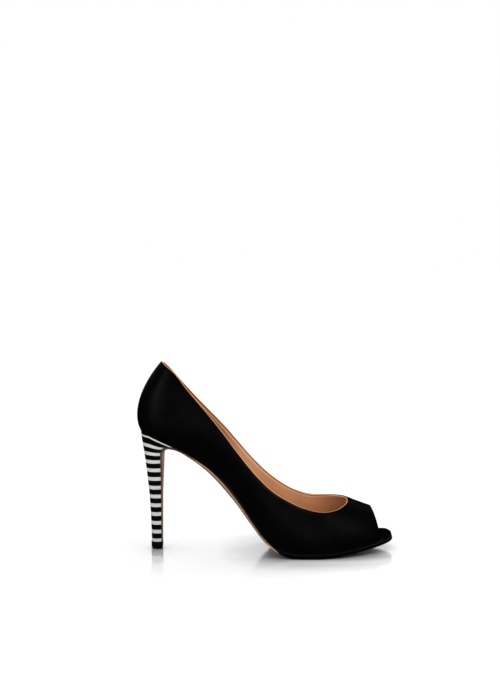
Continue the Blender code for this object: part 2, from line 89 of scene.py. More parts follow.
def finish_with(piece, kind, **settings):
    """Adds one modifier to a piece, sets it and applies it."""
    pick(piece)
    modifier = piece.modifiers.new(kind.lower(), kind)
    for setting, value in settings.items():
        setattr(modifier, setting, value)
    bpy.ops.object.modifier_apply(modifier=modifier.name)


def smooth_held(piece, levels, **settings):
    """Subdivides a piece into a smooth surface that still passes through the points it had."""
    pick(piece)
    modifier = piece.modifiers.new("smooth", "SUBSURF")
    modifier.levels = levels
    modifier.render_levels = levels
    for setting, value in settings.items():
        setattr(modifier, setting, value)
    aims = [vertex.co.copy() for vertex in piece.data.vertices]
    for _ in range(HOLD_ROUNDS):
        bpy.context.view_layer.update()
        smooth = piece.evaluated_get(bpy.context.evaluated_depsgraph_get()).data
        reached = [smooth.vertices[number].co.copy() for number in range(len(aims))]
        for vertex, aim, place in zip(piece.data.vertices, aims, reached):
            ahead = vertex.co - place
            vertex.co = aim + ahead * (HOLD_REACH / max(ahead.length, HOLD_REACH))
        piece.data.update_tag()
    bpy.ops.object.modifier_apply(modifier=modifier.name)


def skin_area(piece):
    """The area of all the faces of a piece."""
    return sum(face.area for face in piece.data.polygons)


def edge_loops(piece):
    """The open edges of a skin, as closed loops of vertex numbers in order, the highest loop first."""
    faces_on = {}
    for face in piece.data.polygons:
        for key in face.edge_keys:
            faces_on[key] = faces_on.get(key, 0) + 1
    beside = {}
    for (first, second), count in faces_on.items():
        if count == 1:
            beside.setdefault(first, []).append(second)
            beside.setdefault(second, []).append(first)
    loops = []
    while beside:
        loop = [next(iter(beside))]
        while loop[-1] in beside:
            ahead = [vertex for vertex in beside.pop(loop[-1]) if vertex in beside]
            loop.extend(ahead[:1])
        loops.append(loop)
    vertices = piece.data.vertices
    return sorted(loops, key=lambda loop: -max(vertices[vertex].co.z for vertex in loop))


def inward_from(piece, loop):
    """For each vertex of an open edge, the unit direction in which the skin runs away from that edge."""
    on_edge = set(loop)
    inner = {vertex: [] for vertex in loop}
    for edge in piece.data.edges:
        first, second = edge.vertices
        if first in on_edge and second not in on_edge:
            inner[first].append(second)
        elif second in on_edge and first not in on_edge:
            inner[second].append(first)
    vertices = piece.data.vertices
    directions = []
    for number, vertex in enumerate(loop):
        along = vertices[loop[(number + 1) % len(loop)]].co - vertices[loop[number - 1]].co
        along.normalize()
        aim = Vector()
        for neighbour in inner[vertex]:
            aim += (vertices[neighbour].co - vertices[vertex].co).normalized()
        aim -= along * aim.dot(along)
        directions.append(aim.normalized() if inner[vertex] else directions[-1])
    evened = []
    for number in range(len(loop)):
        steps = range(number - EVEN_SPAN, number + EVEN_SPAN + 1)
        near = [directions[step % len(loop)] for step in steps]
        evened.append(sum(near, Vector()).normalized())
    return evened


def point_finder(points):
    """Finds the nearest of some points."""
    finder = KDTree(len(points))
    for number, point in enumerate(points):
        finder.insert(point, number)
    finder.balance()
    return finder


def surface_of(piece):
    """Finds the nearest spot on a piece as it is now."""
    return BVHTree.FromPolygons(
        [vertex.co.copy() for vertex in piece.data.vertices],
        [tuple(face.vertices) for face in piece.data.polygons],
    )


def eased(value, low, high):
    """0 below low, 1 above high, and a smooth rise between them."""
    share = np.clip((value - low) / (high - low), 0.0, 1.0)
    return share * share * (3.0 - 2.0 * share)


shell = welded_copy("upper", "upper_leather")
bpy.ops.object.mode_set(mode="EDIT")
bpy.ops.mesh.select_all(action="DESELECT")
bpy.ops.mesh.edges_select_sharp(sharpness=RIM_TURN)
bpy.ops.mesh.edge_split(type="EDGE")
bpy.ops.mesh.separate(type="LOOSE")
bpy.ops.object.mode_set(mode="OBJECT")
skins = sorted(bpy.context.selected_objects, key=skin_area, reverse=True)
upper_leather, lining = skins[:2]
for rim in skins[2:]:
    bpy.data.objects.remove(rim)
upper_leather.name = "upper_leather"
lining.name = "lining"
for skin in (upper_leather, lining):
    smooth_held(skin, 2, boundary_smooth="PRESERVE_CORNERS")

collar = edge_loops(upper_leather)[0]
collar_points = [upper_leather.data.vertices[vertex].co.copy() for vertex in collar]
collar_inward = inward_from(upper_leather, collar)
collar_finder = point_finder(collar_points)
leather_normals = [vertex.normal.copy() for vertex in upper_leather.data.vertices]
for vertex, normal in zip(upper_leather.data.vertices, leather_normals):
    far = collar_finder.find(vertex.co)[2]
    folded = 1.0 - eased(far, FOLD_WIDTH - FOLD_EASE, FOLD_WIDTH + FOLD_EASE)
    vertex.co += normal * FOLD_STEP * folded
leather_surface = surface_of(upper_leather)
finish_with(upper_leather, "SOLIDIFY", thickness=LEATHER_THICK, offset=-1.0)
finish_with(
    upper_leather, "BEVEL", width=LEATHER_EDGE_ROUND, segments=3,
    limit_method="ANGLE", angle_limit=RIM_TURN,
)

BLACK_DEEP = (0.0004, 0.0004, 0.00045, 1.0)
BLACK_WORN = (0.0010, 0.0010, 0.0010, 1.0)
FOLD_LINE = 3.3 * MM
FOLD_SOFT = 0.5 * MM
# Painted highlight: a faint lighter line along the fold just below the collar.
FOLD_PAINTED_GLINT = (0.010, 0.010, 0.010, 1.0)
GLINT_LINE = 1.3 * MM
GLINT_HALF = 0.9 * MM
GLINT_BACK = (-0.02, 0.004)
GLINT_FRONT = (0.03, 0.05)
CELL_EDGE = 0.16
CELL_HEIGHT = 0.7
PORE_HEIGHT = 0.3
PORES_PER_CELL = 2.6
MOTTLE_SPREAD = (0.3, 0.7)


def new_material(name):
    """A new node material: the material, its tree and its Principled shader."""
    material = bpy.data.materials.new(name)
    material.use_nodes = True
    tree = material.node_tree
    return material, tree, tree.nodes["Principled BSDF"]


def add_node(tree, kind, **settings):
    """One more node in a tree, with its own settings."""
    node = tree.nodes.new(kind)
    for setting, value in settings.items():
        setattr(node, setting, value)
    return node


def add_place(tree):
    """The shaded spot's place in the object's own coordinates."""
    return add_node(tree, "ShaderNodeTexCoord").outputs["Object"]


def add_axes(tree):
    """The shaded spot's own X, Y and Z, each as a value."""
    axes = add_node(tree, "ShaderNodeSeparateXYZ")
    tree.links.new(add_place(tree), axes.inputs["Vector"])
    return axes.outputs


def add_math(tree, operation, *values):
    """A maths node on some values, each a number or another node's output."""
    node = add_node(tree, "ShaderNodeMath", operation=operation)
    for socket, value in zip(node.inputs, values):
        if isinstance(value, (int, float)):
            socket.default_value = value
        else:
            tree.links.new(value, socket)
    return node.outputs[0]


def add_range(tree, value, low, high, to_low, to_high, kind="LINEAR"):
    """A value taken from one range to another, held at both ends."""
    node = add_node(tree, "ShaderNodeMapRange", interpolation_type=kind)
    tree.links.new(value, node.inputs["Value"])
    node.inputs["From Min"].default_value = low
    node.inputs["From Max"].default_value = high
    node.inputs["To Min"].default_value = to_low
    node.inputs["To Max"].default_value = to_high
    return node.outputs["Result"]


def add_ease(tree, value, low, high, to_low=0.0, to_high=1.0):
    """A value taken smoothly from one range to another."""
    return add_range(tree, value, low, high, to_low, to_high, "SMOOTHSTEP")


def add_line(tree, distance, centre, half, strength):
    """A soft line at one distance from an edge: strongest on its centre, and nothing past its half width."""
    off_line = add_math(tree, "ABSOLUTE", add_math(tree, "SUBTRACT", distance, centre))
    return add_ease(tree, off_line, 0.0, half, strength, 0.0)


def add_mix(tree, share, first, second):
    """Two colours mixed by a share, each colour a value or another node's output."""
    node = add_node(tree, "ShaderNodeMix", data_type="RGBA")
    tree.links.new(share, node.inputs["Factor"])
    for socket, value in zip((node.inputs[6], node.inputs[7]), (first, second)):
        if isinstance(value, tuple):
            socket.default_value = value
        else:
            tree.links.new(value, socket)
    return node.outputs[2]


def add_bump(tree, shader, height, strength, distance, under=None):
    """Raises a surface's shading by a height that the nodes give, on top of another bump if there is one."""
    node = add_node(tree, "ShaderNodeBump")
    node.inputs["Strength"].default_value = strength
    node.inputs["Distance"].default_value = distance
    tree.links.new(height, node.inputs["Height"])
    if under is not None:
        tree.links.new(under, node.inputs["Normal"])
    tree.links.new(node.outputs["Normal"], shader.inputs["Normal"])
    return node.outputs["Normal"]


def set_gloss(tree, shader, share, rough_from, rough_to, shine=0.5):
    """Roughness that runs from one value to another with a share, and how strongly the surface shines."""
    tree.links.new(add_range(tree, share, 0.0, 1.0, rough_from, rough_to), shader.inputs["Roughness"])
    shader.inputs["Specular IOR Level"].default_value = shine


def keep_values(piece, name, domain, values):
    """Keeps one number for each vertex or face of a piece, for its material to read."""
    layer = piece.data.attributes.new(name, "FLOAT", domain)
    layer.data.foreach_set("value", np.array(values, dtype=np.float32))


def keep_distance(piece, name, finder):
    """Keeps how far each vertex of a piece lies from an edge."""
    keep_values(piece, name, "POINT", [finder.find(vertex.co)[2] for vertex in piece.data.vertices])


def add_kept(tree, name):
    """Reads the numbers that a piece keeps under a name."""
    return add_node(tree, "ShaderNodeAttribute", attribute_name=name).outputs["Fac"]


def make_hide_grain():
    """Leather grain: small uneven cells with fine pores over them, and a broad mottle for tone and gloss."""
    group = bpy.data.node_groups.new("hide_grain", "ShaderNodeTree")
    for name in ("Cells per Metre", "Mottle per Metre"):
        group.interface.new_socket(name, in_out="INPUT", socket_type="NodeSocketFloat")
    for name in ("Height", "Mottle"):
        group.interface.new_socket(name, in_out="OUTPUT", socket_type="NodeSocketFloat")
    given = add_node(group, "NodeGroupInput").outputs
    result = add_node(group, "NodeGroupOutput").inputs
    cells = add_node(group, "ShaderNodeTexVoronoi", feature="DISTANCE_TO_EDGE")
    pores = add_node(group, "ShaderNodeTexNoise")
    pores.inputs["Detail"].default_value = 3.0
    mottle = add_node(group, "ShaderNodeTexNoise")
    mottle.inputs["Detail"].default_value = 4.0
    place = add_place(group)
    for texture in (cells, pores, mottle):
        group.links.new(place, texture.inputs["Vector"])
    pores_per_metre = add_math(group, "MULTIPLY", given["Cells per Metre"], PORES_PER_CELL)
    group.links.new(given["Cells per Metre"], cells.inputs["Scale"])
    group.links.new(pores_per_metre, pores.inputs["Scale"])
    group.links.new(given["Mottle per Metre"], mottle.inputs["Scale"])
    cell_height = add_ease(group, cells.outputs["Distance"], 0.0, CELL_EDGE, 0.0, CELL_HEIGHT)
    pore_height = add_math(group, "MULTIPLY", pores.outputs["Fac"], PORE_HEIGHT)
    group.links.new(add_math(group, "ADD", cell_height, pore_height), result["Height"])
    group.links.new(add_range(group, mottle.outputs["Fac"], *MOTTLE_SPREAD, 0.0, 1.0), result["Mottle"])
    return group


hide_grain = make_hide_grain()


def add_grain(tree, cells_per_metre, mottle_per_metre):
    """The shared leather grain, placed in a material with its own sizes."""
    node = add_node(tree, "ShaderNodeGroup", node_tree=hide_grain)
    node.inputs["Cells per Metre"].default_value = cells_per_metre
    node.inputs["Mottle per Metre"].default_value = mottle_per_metre
    return node.outputs["Height"], node.outputs["Mottle"]


black_leather, tree, shader = new_material("black_leather")
grain, mottle = add_grain(tree, cells_per_metre=1500.0, mottle_per_metre=55.0)
set_gloss(tree, shader, mottle, rough_from=0.34, rough_to=0.46, shine=0.35)
keep_distance(upper_leather, "from_collar", collar_finder)
from_collar = add_kept(tree, "from_collar")
forward = add_axes(tree)["X"]
# Painted highlight along the middle stretch of the collar: the fold's line below the edge is painted
# lighter, standing in for its glint.
past_back = add_ease(tree, forward, *GLINT_BACK)
before_front = add_ease(tree, forward, *GLINT_FRONT, 1.0, 0.0)
painted_glint = add_line(tree, from_collar, GLINT_LINE, GLINT_HALF, strength=1.0)
painted_glint = add_math(tree, "MULTIPLY", painted_glint, add_math(tree, "MULTIPLY", past_back, before_front))
hide = add_mix(tree, mottle, BLACK_DEEP, BLACK_WORN)
tree.links.new(add_mix(tree, painted_glint, hide, FOLD_PAINTED_GLINT), shader.inputs["Base Color"])
fold = add_ease(tree, from_collar, FOLD_LINE - FOLD_SOFT, FOLD_LINE + FOLD_SOFT, 1.0, 0.0)
folded = add_bump(tree, shader, fold, strength=0.6, distance=0.2 * MM)
add_bump(tree, shader, grain, strength=0.25, distance=0.05 * MM, under=folded)
upper_leather.data.materials.append(black_leather)
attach(upper_leather, "root")
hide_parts("upper")


# Collar stitches: one row of fine black thread that holds the folded edge down, just below the collar
# all the way round. Each stitch is a short loop drawn tight into the leather.
STITCH_BELOW = 2.2 * MM
STITCH_PITCH = 2.3 * MM
STITCH_LONG = 1.75 * MM
STITCH_RADIUS = 0.2 * MM
STITCH_ROUND = 0.75 * STITCH_RADIUS
STITCH_DIP = 1.2 * STITCH_RADIUS
STITCH_SUNK = 0.06 * MM
STITCH_SIDES = 6
STITCH_END_TURN = math.radians(75)
LOOK_AHEAD = 0.5 * MM
TWISTS_PER_METRE = 9000.0
THREAD_BLACK = (0.0035, 0.0035, 0.0037, 1.0)


def one_stitch():
    """A single stitch along X: a short thread with rounded ends that dip into the leather."""
    bpy.ops.object.select_all(action="DESELECT")
    bpy.ops.mesh.primitive_cylinder_add(
        vertices=STITCH_SIDES, radius=STITCH_RADIUS, depth=STITCH_LONG, rotation=(0.0, math.pi / 2, 0.0)
    )
    stitch = bpy.context.active_object
    bpy.ops.object.transform_apply(location=True, rotation=True, scale=True)
    bpy.ops.object.mode_set(mode="EDIT")
    bpy.ops.mesh.select_mode(type="EDGE")
    bpy.ops.mesh.select_all(action="DESELECT")
    bpy.ops.mesh.edges_select_sharp(sharpness=STITCH_END_TURN)
    bpy.ops.mesh.bevel(offset=STITCH_ROUND, segments=2)
    bpy.ops.object.mode_set(mode="OBJECT")
    for vertex in stitch.data.vertices:
        vertex.co.z -= STITCH_DIP * eased(abs(vertex.co.x), STITCH_LONG * 0.25, STITCH_LONG * 0.5)
    stitch.data.shade_smooth()
    return stitch


def stitch_row(name, edge_points, inward, surface):
    """A row of stitches at one distance from a closed edge, all copied from one and sunk in the surface."""
    stitch = one_stitch()
    places = np.array([tuple(point) for point in edge_points] + [tuple(edge_points[0])])
    aims = np.array([tuple(aim) for aim in inward] + [tuple(inward[0])])
    reach = np.concatenate(([0.0], np.cumsum(np.linalg.norm(np.diff(places, axis=0), axis=1))))

    def along_edge(at, values):
        """The values of the edge's points, read at one length along the edge."""
        return Vector([np.interp(at, reach, values[:, axis]) for axis in range(3)])

    count = round(reach[-1] / STITCH_PITCH)
    row = []
    for number in range(count):
        at = reach[-1] * number / count
        aim = along_edge(at, aims).normalized()
        ahead = along_edge((at + LOOK_AHEAD) % reach[-1], places)
        spot, normal = surface.find_nearest(along_edge(at, places) + aim * STITCH_BELOW)[:2]
        across = normal.cross(ahead - spot - aim * (ahead - spot).dot(aim)).normalized()
        along = across.cross(normal)
        one = stitch.copy()
        one.data = stitch.data.copy()
        bpy.context.scene.collection.objects.link(one)
        turn = Matrix((along, across, normal)).transposed().to_4x4()
        one.matrix_world = Matrix.Translation(spot - normal * STITCH_SUNK) @ turn
        row.append(one)
    bpy.data.objects.remove(stitch)
    bpy.ops.object.select_all(action="DESELECT")
    for one in row:
        one.select_set(True)
    bpy.context.view_layer.objects.active = row[0]
    bpy.ops.object.join()
    bpy.ops.object.transform_apply(location=True, rotation=True, scale=True)
    row[0].name = name
    row[0].data.name = name
    return row[0]


def thread_material(name, colour, rough, shine=0.5):
    """Twisted sewing thread of one colour."""
    material, tree, shader = new_material(name)
    shader.inputs["Base Color"].default_value = colour
    shader.inputs["Roughness"].default_value = rough
    shader.inputs["Specular IOR Level"].default_value = shine
    twist = add_node(tree, "ShaderNodeTexNoise")
    twist.inputs["Scale"].default_value = TWISTS_PER_METRE
    tree.links.new(add_place(tree), twist.inputs["Vector"])
    add_bump(tree, shader, twist.outputs["Fac"], strength=0.3, distance=0.04 * MM)
    return material


collar_stitches = stitch_row("collar_stitches", collar_points, collar_inward, leather_surface)
collar_stitches.data.materials.append(thread_material("black_thread", THREAD_BLACK, rough=0.5, shine=0.4))
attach(collar_stitches, "root")


# Lining: a thin tan calf skin cemented inside the upper. Its cut edge stands just above the folded black
# edge all round the collar, where it shows as a fine tan line.
LINING_THICK = 0.72 * MM
LINING_PROUD = 0.6 * MM
LINING_EDGE_ROUND = 0.26 * MM
INNER_FACING = 0.8
RIM_BAND = 1.0 * MM
RIM_SOFT = 0.25 * MM
TAN_PALE = (0.74, 0.43, 0.25, 1.0)
TAN_DEEP = (0.66, 0.345, 0.18, 1.0)
# Painted shade: the lining is painted darker towards the heel and towards the toe end of the throat.
TAN_PAINTED_SHADE = (0.36, 0.165, 0.08, 1.0)
PAINTED_SHADE_BACK = (-0.044, -0.016)
PAINTED_SHADE_TOE = (0.036, 0.066)
PAINTED_SHADE_TOE_SHARE = 0.8
# Painted highlight: a pale line a little below the lining's rim.
TAN_PAINTED_HIGHLIGHT = (0.95, 0.70, 0.52, 1.0)
HIGHLIGHT_LINE = 2.4 * MM
HIGHLIGHT_HALF = 0.9 * MM
HIGHLIGHT_SHARE = 0.75
# The rim's cut edge, an orange tan, with painted light on its outer faces and painted shade on the faces
# that turn into the shoe.
CUT_TAN_PAINTED_LIT = (0.95, 0.44, 0.19, 1.0)
CUT_TAN_PAINTED_SHADE = (0.42, 0.14, 0.025, 1.0)

lining_collar = edge_loops(lining)[0]
lining_inward = inward_from(lining, lining_collar)
lining_facing = [lining.data.vertices[vertex].normal.copy() for vertex in lining_collar]
lining_top = [
    lining.data.vertices[vertex].co - aim * LINING_PROUD
    for vertex, aim in zip(lining_collar, lining_inward)
]
lining_surface = surface_of(lining)
pick(lining)
bpy.ops.object.mode_set(mode="EDIT")
bpy.ops.mesh.select_mode(type="VERT")
bpy.ops.mesh.select_all(action="DESELECT")
bpy.ops.object.mode_set(mode="OBJECT")
for vertex in lining_collar:
    lining.data.vertices[vertex].select = True
bpy.ops.object.mode_set(mode="EDIT")
bpy.ops.mesh.select_mode(type="EDGE")
bpy.ops.mesh.extrude_edges_move()
bpy.ops.object.mode_set(mode="OBJECT")
drawn_from = point_finder([lining.data.vertices[vertex].co.copy() for vertex in lining_collar])
old_edge = set(lining_collar)
for vertex in lining.data.vertices:
    if vertex.select and vertex.index not in old_edge:
        vertex.co = lining_top[drawn_from.find(vertex.co)[1]]
finish_with(lining, "SOLIDIFY", thickness=LINING_THICK, offset=-1.0)
finish_with(
    lining, "BEVEL", width=LINING_EDGE_ROUND, segments=3, limit_method="ANGLE", angle_limit=RIM_TURN
)
rim_finder = point_finder(lining_top)
turned_inward = []
for face in lining.data.polygons:
    facing = lining_facing[rim_finder.find(face.center)[1]]
    turned_inward.append(1.0 if face.normal.dot(facing) > INNER_FACING else 0.0)
keep_values(lining, "inner_side", "FACE", turned_inward)
keep_distance(lining, "from_rim", rim_finder)

tan_lining, tree, shader = new_material("tan_lining")
grain, mottle = add_grain(tree, cells_per_metre=1100.0, mottle_per_metre=45.0)
set_gloss(tree, shader, mottle, rough_from=0.62, rough_to=0.5, shine=0.3)
from_rim = add_kept(tree, "from_rim")
forward = add_axes(tree)["X"]
# Painted shade at both ends of the lining, where the inside of the shoe lies in shade.
painted_shade_back = add_ease(tree, forward, *PAINTED_SHADE_BACK, 1.0, 0.0)
painted_shade_toe = add_ease(tree, forward, *PAINTED_SHADE_TOE, 0.0, PAINTED_SHADE_TOE_SHARE)
painted_shade = add_math(tree, "MAXIMUM", painted_shade_back, painted_shade_toe)
hide = add_mix(tree, painted_shade, add_mix(tree, mottle, TAN_DEEP, TAN_PALE), TAN_PAINTED_SHADE)
# Painted highlight: a pale line along the lining a little below its rim.
painted_highlight = add_line(tree, from_rim, HIGHLIGHT_LINE, HIGHLIGHT_HALF, strength=HIGHLIGHT_SHARE)
hide = add_mix(tree, painted_highlight, hide, TAN_PAINTED_HIGHLIGHT)
# The cut edge is orange tan: painted lighter on faces turned up and out, painted darker as shade on faces
# turned into the shoe.
cut_edge_lit_and_shaded = add_mix(tree, add_kept(tree, "inner_side"), CUT_TAN_PAINTED_LIT, CUT_TAN_PAINTED_SHADE)
on_rim = add_range(tree, from_rim, RIM_BAND, RIM_BAND + RIM_SOFT, 1.0, 0.0)
tree.links.new(add_mix(tree, on_rim, hide, cut_edge_lit_and_shaded), shader.inputs["Base Color"])
add_bump(tree, shader, grain, strength=0.2, distance=0.05 * MM)
lining.data.materials.append(tan_lining)
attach(lining, "root")
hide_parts("upper")


# Lining stitches: the same row as it comes through on the inside, in a tan bobbin thread paler than the
# leather. It runs just below the lining's cut edge.
THREAD_TAN = (0.74, 0.52, 0.38, 1.0)

lining_stitches = stitch_row("lining_stitches", lining_top, lining_inward, lining_surface)
lining_stitches.data.materials.append(thread_material("tan_thread", THREAD_TAN, rough=0.55))
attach(lining_stitches, "root")


# Foot bed: a sock of the lining's tan leather on a firm board, cemented down from the heel seat to the
# platform. Its face is plain and smooth.
SHARP_TURN = math.radians(32)
CORNER_TURN = math.radians(40)
SOCK_EDGE_ROUND = 0.35 * MM


def refine(piece, levels, edge_round, segments=3, **settings):
    """Smooths a copied solid between its own sharp edges and corners, then rounds those edges."""
    pick(piece)
    bpy.ops.object.mode_set(mode="EDIT")
    bpy.ops.mesh.select_mode(type="EDGE")
    bpy.ops.mesh.select_all(action="DESELECT")
    bpy.ops.mesh.edges_select_sharp(sharpness=SHARP_TURN)
    bpy.ops.transform.edge_crease(value=1.0)
    bpy.ops.object.mode_set(mode="OBJECT")
    sharp_from = {}
    for edge in piece.data.edges:
        if edge.select:
            first, second = edge.vertices
            along = (piece.data.vertices[second].co - piece.data.vertices[first].co).normalized()
            sharp_from.setdefault(first, []).append(along)
            sharp_from.setdefault(second, []).append(-along)
    bpy.ops.object.mode_set(mode="EDIT")
    bpy.ops.mesh.select_mode(type="VERT")
    bpy.ops.mesh.select_all(action="DESELECT")
    bpy.ops.object.mode_set(mode="OBJECT")
    for vertex, ways in sharp_from.items():
        turns = len(ways) == 2 and ways[0].angle(-ways[1]) > CORNER_TURN
        piece.data.vertices[vertex].select = turns
    bpy.ops.object.mode_set(mode="EDIT")
    bpy.ops.transform.vert_crease(value=1.0)
    bpy.ops.object.mode_set(mode="OBJECT")
    smooth_held(piece, levels, **settings)
    finish_with(
        piece, "BEVEL", width=edge_round, segments=segments,
        limit_method="ANGLE", angle_limit=SHARP_TURN,
    )


insole_sock = welded_copy("insole", "insole_sock")
refine(insole_sock, 2, SOCK_EDGE_ROUND)
tan_sock, tree, shader = new_material("tan_sock")
grain, mottle = add_grain(tree, cells_per_metre=900.0, mottle_per_metre=35.0)
tree.links.new(add_mix(tree, mottle, TAN_DEEP, TAN_PALE), shader.inputs["Base Color"])
set_gloss(tree, shader, mottle, rough_from=0.58, rough_to=0.46, shine=0.35)
add_bump(tree, shader, grain, strength=0.25, distance=0.06 * MM)
insole_sock.data.materials.append(tan_sock)
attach(insole_sock, "root")
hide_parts("insole")


# Platform: a cork lift under the forepart, wrapped in the upper's black leather. Its rounded nose shows
# through the peep toe.
PLATFORM_EDGE_ROUND = 0.5 * MM

platform_cover = welded_copy("platform", "platform_cover")
refine(platform_cover, 1, PLATFORM_EDGE_ROUND, subdivision_type="SIMPLE")
platform_leather, tree, shader = new_material("platform_leather")
grain, mottle = add_grain(tree, cells_per_metre=1500.0, mottle_per_metre=70.0)
tree.links.new(add_mix(tree, mottle, BLACK_DEEP, BLACK_WORN), shader.inputs["Base Color"])
set_gloss(tree, shader, mottle, rough_from=0.42, rough_to=0.55, shine=0.35)
add_bump(tree, shader, grain, strength=0.25, distance=0.05 * MM)
platform_cover.data.materials.append(platform_leather)
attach(platform_cover, "root")
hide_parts("platform")


# Outsole: one long piece of tan sole leather under the forepart and the arch, thinned at the seat and
# turned down the heel's breast as a flap. Its edge is burnished, and dyed black round the forepart.
SOLE_EDGE_ROUND = 0.22 * MM
SIDE_FACING = 0.5
TREAD_FACING = -0.9
WAIST_FACING = -0.3
UPPER_FACING = 0.3
FLAP_FACING = 0.5
FLAP_FRONT = -0.06
FLAP_EASE = 8.0 * MM
SOLE_THINNEST = 0.01 * MM
SOLE_FACE = (0.50, 0.30, 0.19, 1.0)
SOLE_FACE_RUBBED = (0.42, 0.235, 0.14, 1.0)
# Painted shade: the flap's face is painted a greyer, slightly darker tan.
FLAP_FACE_PAINTED_SHADE = (0.42, 0.30, 0.235, 1.0)
FLAP_EDGE = (0.11, 0.055, 0.035, 1.0)
EDGE_TAN = (0.42, 0.25, 0.145, 1.0)
# Painted shade: the lower part of the waist edge is painted darker.
EDGE_LOW_PAINTED_SHADE = (0.16, 0.085, 0.054, 1.0)
EDGE_TOP_DARK = (0.03, 0.016, 0.009, 1.0)
EDGE_DYE = (0.0012, 0.0012, 0.0013, 1.0)
# Painted highlight: a faint lighter line along the top lip of the black-dyed edge.
EDGE_LIP_PAINTED_GLINT = (0.008, 0.008, 0.008, 1.0)
BOUNCE_GREY = (0.6, 0.6, 0.6, 1.0)
LOW_BAND = (0.48, 0.66)
TOP_DARK_BAND = (0.9, 0.97)
LIP_GLINT_BAND = (0.88, 0.95)
DYE_TOP = (-0.003, 0.018)
DYE_FOOT = (0.012, 0.004)
DYE_BACK = -0.006
DYE_BLEED = 0.5 * MM
DYE_WANDER = 0.6 * MM

leather_outsole = welded_copy("outsole", "leather_outsole")
refine(leather_outsole, 2, SOLE_EDGE_ROUND)
edge_share = np.ones(len(leather_outsole.data.polygons))
upper_faces = []
under_faces = []
for face in leather_outsole.data.polygons:
    if abs(face.normal.y) > SIDE_FACING:
        continue
    steepest = TREAD_FACING if face.center.x > 0.0 else WAIST_FACING
    on_flap = face.center.x < FLAP_FRONT
    if face.normal.z < steepest or (on_flap and face.normal.x > FLAP_FACING):
        edge_share[face.index] = 0.0
        under_faces.append(tuple(face.vertices))
    elif face.normal.z > UPPER_FACING or (on_flap and face.normal.x < -FLAP_FACING):
        upper_faces.append(tuple(face.vertices))
keep_values(leather_outsole, "sole_edge", "FACE", edge_share)
sole_points = [vertex.co.copy() for vertex in leather_outsole.data.vertices]
upper_side = BVHTree.FromPolygons(sole_points, upper_faces)
under_side = BVHTree.FromPolygons(sole_points, under_faces)
edge_height = []
for point in sole_points:
    from_upper = upper_side.find_nearest(point)[3]
    from_under = under_side.find_nearest(point)[3]
    edge_height.append(from_under / max(from_upper + from_under, SOLE_THINNEST))
keep_values(leather_outsole, "edge_height", "POINT", edge_height)

sole_leather, tree, shader = new_material("sole_leather")
grain, mottle = add_grain(tree, cells_per_metre=700.0, mottle_per_metre=30.0)
on_edge = add_kept(tree, "sole_edge")
height = add_kept(tree, "edge_height")
axes = add_axes(tree)
forward = axes["X"]
dye_fall = (DYE_TOP[1] - DYE_FOOT[1]) / (DYE_FOOT[0] - DYE_TOP[0])
dye_start = DYE_TOP[1] + DYE_TOP[0] * dye_fall
dye_level = add_math(tree, "MULTIPLY_ADD", forward, dye_fall, axes["Z"])
dye_level = add_math(tree, "MULTIPLY_ADD", mottle, DYE_WANDER, dye_level)
above_line = add_range(tree, dye_level, dye_start, dye_start + DYE_BLEED, 0.0, 1.0)
ahead_of_waist = add_range(tree, forward, DYE_BACK - DYE_BLEED, DYE_BACK + DYE_BLEED, 0.0, 1.0)
dyed = add_math(tree, "MULTIPLY", above_line, ahead_of_waist)
on_flap = add_ease(tree, forward, FLAP_FRONT - FLAP_EASE, FLAP_FRONT, 1.0, 0.0)
# On the flap the face takes the painted shade colour.
face_colour = add_mix(tree, on_flap, add_mix(tree, mottle, SOLE_FACE_RUBBED, SOLE_FACE), FLAP_FACE_PAINTED_SHADE)
# Painted shade: the waist edge is darker along its lower part.
waist_colour = add_mix(tree, add_ease(tree, height, *LOW_BAND), EDGE_LOW_PAINTED_SHADE, EDGE_TAN)
# The waist edge turns near black along its very top, just under the upper.
waist_colour = add_mix(tree, add_ease(tree, height, *TOP_DARK_BAND), waist_colour, EDGE_TOP_DARK)
# Black dye, with a painted highlight along its top lip where it meets the upper.
dye_and_glint_colour = add_mix(tree, add_ease(tree, height, *LIP_GLINT_BAND), EDGE_DYE, EDGE_LIP_PAINTED_GLINT)
edge_colour = add_mix(tree, dyed, add_mix(tree, on_flap, waist_colour, FLAP_EDGE), dye_and_glint_colour)
sole_colour = add_mix(tree, on_edge, face_colour, edge_colour)
rays = add_node(tree, "ShaderNodeLightPath").outputs
bounced = add_math(tree, "MAXIMUM", rays["Is Diffuse Ray"], rays["Is Glossy Ray"])
tree.links.new(add_mix(tree, bounced, sole_colour, BOUNCE_GREY), shader.inputs["Base Color"])
set_gloss(tree, shader, on_edge, rough_from=0.55, rough_to=0.4, shine=0.35)
add_bump(tree, shader, grain, strength=0.2, distance=0.06 * MM)
leather_outsole.data.materials.append(sole_leather)
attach(leather_outsole, "root")
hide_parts("outsole")


# Heel: a slim moulded core, wrapped in ribbed ribbon cloth with black and white stripes of equal width.
# The stripes lie level up the stem and bend down with the seat at the top.
HEEL_EDGE_ROUND = 0.3 * MM
# The stripes are laid out in millimetres.
HEEL_HEADING = math.radians(-3.5)
HEEL_PIN = (-95.8, 2.2)
HEEL_PIN_RUN = 15.4
HEEL_GIRTH_RADIUS = 8.0
FALL_FROM = 11.0
SEAT_FALL = 0.34
SEAT_CURVE = 0.005
BEND_FROM = 77.5
BEND_TO = 103.0
BEND_ROUNDS = 60
LOWEST_WHITE = 7.5
STRIPE_STEP = 7.936
WHITE_SHARE = 0.40
TOP_WHITE_SHARE = 0.2
TOP_STRIPE = 11.5
TOP_STRIPE_SOFT = 0.05
STRIPE_SOFT = 0.012
RIBS_PER_STRIPE = 6
TWILL_STEP = 0.75
TWILL_HEIGHT = 0.22
WEAVE_CREST = 0.9
